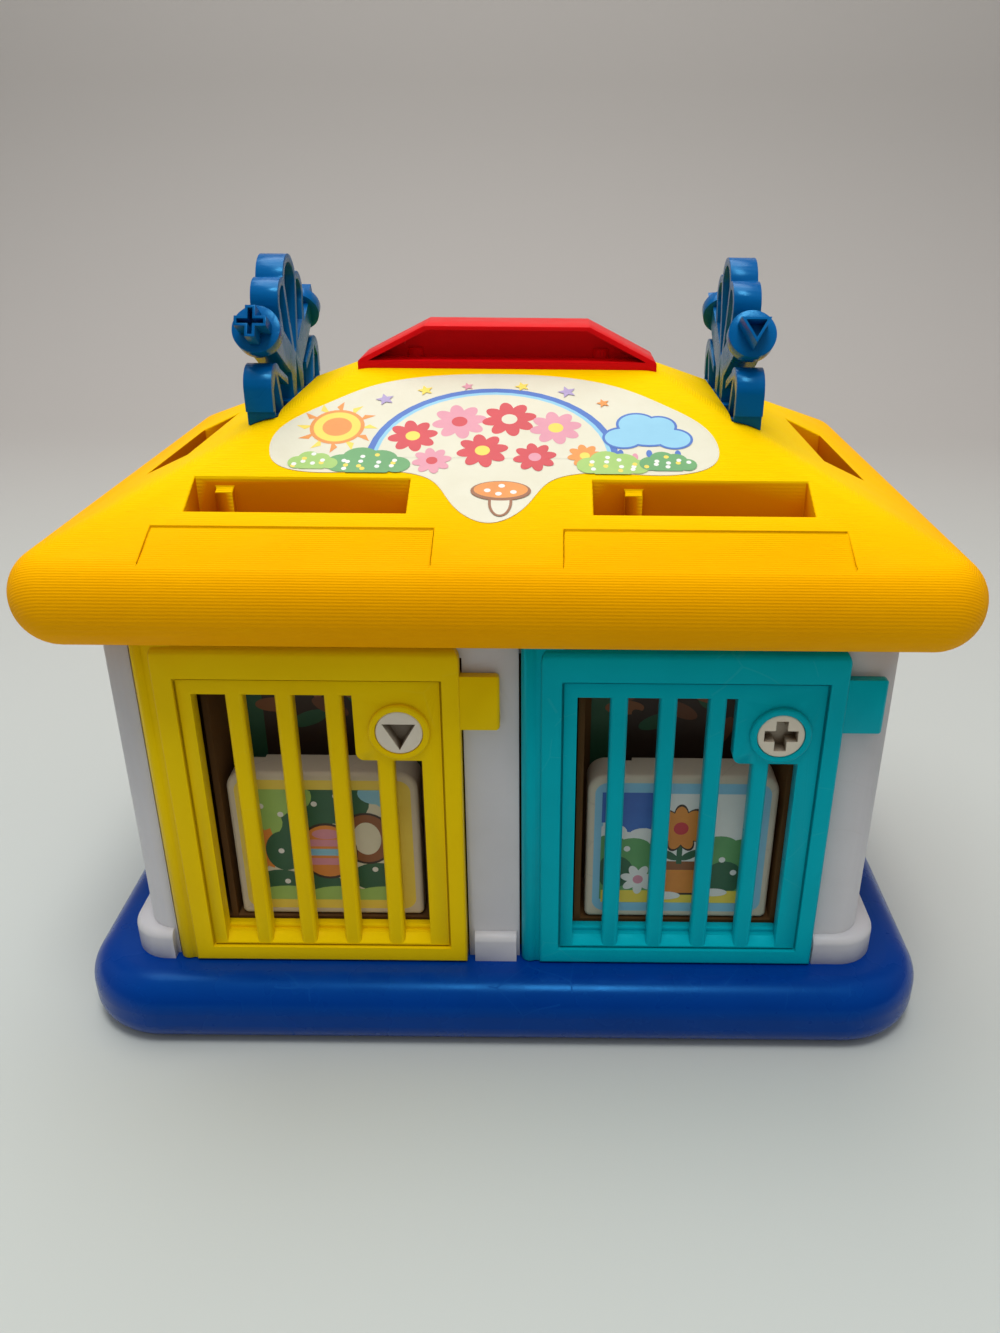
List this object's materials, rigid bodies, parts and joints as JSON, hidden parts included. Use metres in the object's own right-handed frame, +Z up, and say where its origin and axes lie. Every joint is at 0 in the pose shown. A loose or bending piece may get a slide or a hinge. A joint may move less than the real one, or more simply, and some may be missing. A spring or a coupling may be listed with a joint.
{
  "type": "toy animal house with keyed cage doors",
  "caption": "Free-standing toy house: picture blocks drop through roof slots into barred cages whose hinged doors are locked with shaped keys.",
  "frame": {"origin": "on the ground under the middle of the base", "axes": "+Z up, -Y out of the front with two doors, +X to the right of someone facing the front"},
  "size_m": [0.28, 0.1942, 0.2354],
  "materials": {
    "base_blue": "moulded, softly glossy, lightly scratched",
    "wall_white": "moulded, satin",
    "core_dark": "moulded, satin, dark",
    "roof_yellow": "moulded, satin with fine grooves",
    "handle_red": "moulded, softly glossy",
    "decal_print": "printed film, satin",
    "screw_steel": "plated",
    "door_yellow": "moulded, satin",
    "door_teal": "moulded, satin",
    "door_red": "moulded, satin",
    "door_blue": "moulded, satin",
    "lock_white": "moulded, satin",
    "block_white": "moulded, satin",
    "card_print": "printed film, satin",
    "picture_print": "printed film, satin",
    "key_blue": "moulded, softly glossy"
  },
  "bodies": {
    "house": {"base_tray": "base_blue", "house_walls": "wall_white", "cage_core": "core_dark", "roof_shell": "roof_yellow", "carry_handle": "handle_red", "roof_decal": "decal_print", "base_screws": "screw_steel", "roof_screws": "screw_steel", "cage_picture_front_left": "picture_print", "cage_picture_front_right": "picture_print", "cage_picture_right_side": "picture_print", "cage_picture_left_side": "picture_print"},
    "door_front_left": {"door_front_left": "door_yellow"},
    "lock_front_left": {"lock_front_left": "lock_white", "cam_front_left": "lock_white", "cam_screw_front_left": "screw_steel"},
    "block_front_left": {"block_face_front_left": "block_white", "block_back_front_left": "block_white", "block_card_front_left": "card_print"},
    "door_front_right": {"door_front_right": "door_teal"},
    "lock_front_right": {"lock_front_right": "lock_white", "cam_front_right": "lock_white", "cam_screw_front_right": "screw_steel"},
    "block_front_right": {"block_face_front_right": "block_white", "block_back_front_right": "block_white", "block_card_front_right": "card_print"},
    "door_right_side": {"door_right_side": "door_red"},
    "lock_right_side": {"lock_right_side": "lock_white", "cam_right_side": "lock_white", "cam_screw_right_side": "screw_steel"},
    "block_right_side": {"block_face_right_side": "block_white", "block_back_right_side": "block_white", "block_card_right_side": "card_print"},
    "door_left_side": {"door_left_side": "door_blue"},
    "lock_left_side": {"lock_left_side": "lock_white", "cam_left_side": "lock_white", "cam_screw_left_side": "screw_steel"},
    "block_left_side": {"block_face_left_side": "block_white", "block_back_left_side": "block_white", "block_card_left_side": "card_print"},
    "key_left": {"key_left": "key_blue"},
    "key_right": {"key_right": "key_blue"}
  },
  "joints": [
    {"name": "front_left_door_hinge", "type": "hinge", "parent": "house", "child": "door_front_left", "pos_m": [-0.1039, -0.0783, 0.08], "axis": [0, 0, -1], "range_deg": [0, 95]},
    {"name": "front_left_lock_turn", "type": "hinge", "parent": "door_front_left", "child": "lock_front_left", "pos_m": [-0.03, -0.078, 0.1096], "axis": [0, 1, 0], "range_deg": [0, 90]},
    {"name": "front_left_block_lift", "type": "slide", "parent": "house", "child": "block_front_left", "axis": [0, 0, 1], "range_m": [0, 0.15]},
    {"name": "front_right_door_hinge", "type": "hinge", "parent": "house", "child": "door_front_right", "pos_m": [0.0089, -0.0783, 0.08], "axis": [0, 0, -1], "range_deg": [0, 95]},
    {"name": "front_right_lock_turn", "type": "hinge", "parent": "door_front_right", "child": "lock_front_right", "pos_m": [0.0828, -0.078, 0.1096], "axis": [0, 1, 0], "range_deg": [0, 90]},
    {"name": "front_right_block_lift", "type": "slide", "parent": "house", "child": "block_front_right", "axis": [0, 0, 1], "range_m": [0, 0.15]},
    {"name": "right_side_door_hinge", "type": "hinge", "parent": "house", "child": "door_right_side", "pos_m": [0.1183, -0.0445, 0.08], "axis": [0, 0, -1], "range_deg": [0, 95]},
    {"name": "right_side_lock_turn", "type": "hinge", "parent": "door_right_side", "child": "lock_right_side", "pos_m": [0.118, 0.0294, 0.1096], "axis": [-1, 0, 0], "range_deg": [0, 90]},
    {"name": "right_side_block_lift", "type": "slide", "parent": "house", "child": "block_right_side", "axis": [0, 0, 1], "range_m": [0, 0.15]},
    {"name": "left_side_door_hinge", "type": "hinge", "parent": "house", "child": "door_left_side", "pos_m": [-0.1183, 0.0445, 0.08], "axis": [0, 0, -1], "range_deg": [0, 95]},
    {"name": "left_side_lock_turn", "type": "hinge", "parent": "door_left_side", "child": "lock_left_side", "pos_m": [-0.118, -0.0294, 0.1096], "axis": [1, 0, 0], "range_deg": [0, 90]},
    {"name": "left_side_block_lift", "type": "slide", "parent": "house", "child": "block_left_side", "axis": [0, 0, 1], "range_m": [0, 0.15]},
    {"name": "left_key_lift", "type": "slide", "parent": "house", "child": "key_left", "axis": [0, 0, 1], "range_m": [0, 0.03]},
    {"name": "right_key_lift", "type": "slide", "parent": "house", "child": "key_right", "axis": [0, 0, 1], "range_m": [0, 0.03]}
  ]
}
